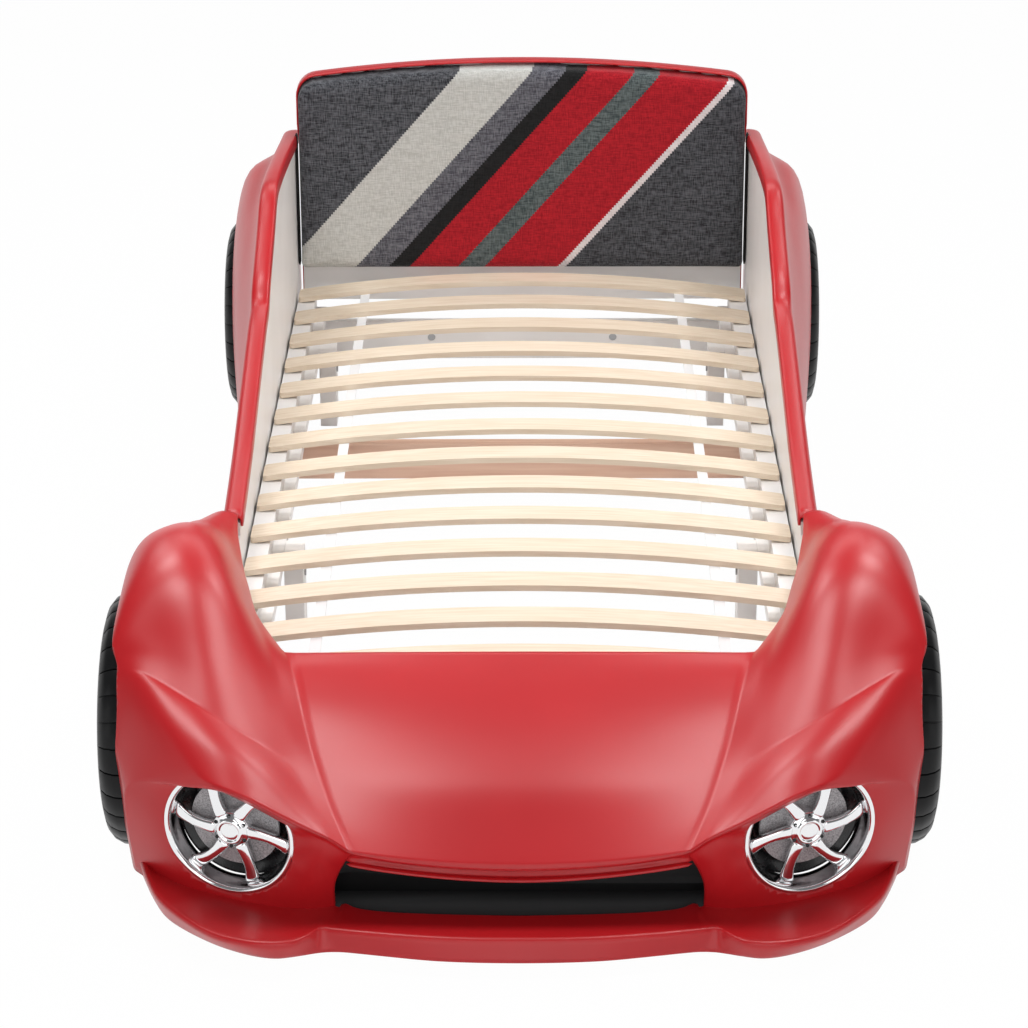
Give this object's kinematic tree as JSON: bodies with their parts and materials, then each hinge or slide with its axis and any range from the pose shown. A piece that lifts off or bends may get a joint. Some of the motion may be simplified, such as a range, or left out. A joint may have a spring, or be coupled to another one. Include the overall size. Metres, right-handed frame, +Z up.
{
  "type": "children's car bed",
  "caption": "Children's slatted bed in a red moulded car body with wheels, spoked headlamps, grille and a padded headboard.",
  "frame": {"origin": "on the floor under the middle of the bed", "axes": "+X to the right of the car seen from its rear, +Y towards the headboard, +Z up"},
  "size_m": [1.212, 2.4817, 0.6599],
  "materials": {
    "red_moulding": "satin red moulded plastic",
    "black_plastic": "matt black plastic",
    "chrome_trim": "bright chrome plating on plastic",
    "brushed_disc": "grey lacquered plastic disc",
    "white_board": "white melamine on particle board",
    "webbing": "white woven tape",
    "tyre_plastic": "black moulded plastic tyre",
    "silver_plastic": "silver lacquered plastic",
    "stained_wood": "reddish stained softwood",
    "birch_slat": "clear birch laminate",
    "steel_fitting": "dark zinc",
    "pad_fabric": "woven upholstery fabric with slanted stripes"
  },
  "bodies": {
    "root": {"front_shell": "red_moulding", "grille_liner": "black_plastic", "grille_blade": "red_moulding", "lamp_rim_left": "chrome_trim", "lamp_cap_left": "chrome_trim", "lamp_disc_left": "brushed_disc", "lamp_bucket_left": "black_plastic", "side_shell_left": "red_moulding", "side_panel_left": "white_board", "ledge_left": "white_board", "tape_left": "webbing", "tyre_front_left": "tyre_plastic", "wheel_rim_front_left": "silver_plastic", "wheel_cap_front_left": "silver_plastic", "leg_front_left": "white_board", "tyre_rear_left": "tyre_plastic", "wheel_rim_rear_left": "silver_plastic", "wheel_cap_rear_left": "silver_plastic", "leg_rear_left": "white_board", "lamp_rim_right": "chrome_trim", "lamp_cap_right": "chrome_trim", "lamp_disc_right": "brushed_disc", "lamp_bucket_right": "black_plastic", "side_shell_right": "red_moulding", "side_panel_right": "white_board", "ledge_right": "white_board", "tape_right": "webbing", "tyre_front_right": "tyre_plastic", "wheel_rim_front_right": "silver_plastic", "wheel_cap_front_right": "silver_plastic", "leg_front_right": "white_board", "tyre_rear_right": "tyre_plastic", "wheel_rim_rear_right": "silver_plastic", "wheel_cap_rear_right": "silver_plastic", "leg_rear_right": "white_board", "foot_board": "white_board", "head_stretcher": "white_board", "headboard_board": "white_board", "middle_rail": "stained_wood", "slat_01": "birch_slat", "slat_02": "birch_slat", "slat_03": "birch_slat", "slat_04": "birch_slat", "slat_05": "birch_slat", "slat_06": "birch_slat", "slat_07": "birch_slat", "slat_08": "birch_slat", "slat_09": "birch_slat", "slat_10": "birch_slat", "slat_11": "birch_slat", "slat_12": "birch_slat", "slat_13": "birch_slat", "slat_14": "birch_slat", "floor_glides": "black_plastic", "leg_screws": "steel_fitting", "cam_locks": "steel_fitting", "headboard_pad": "pad_fabric", "headboard_shell": "red_moulding"}
  },
  "joints": []
}
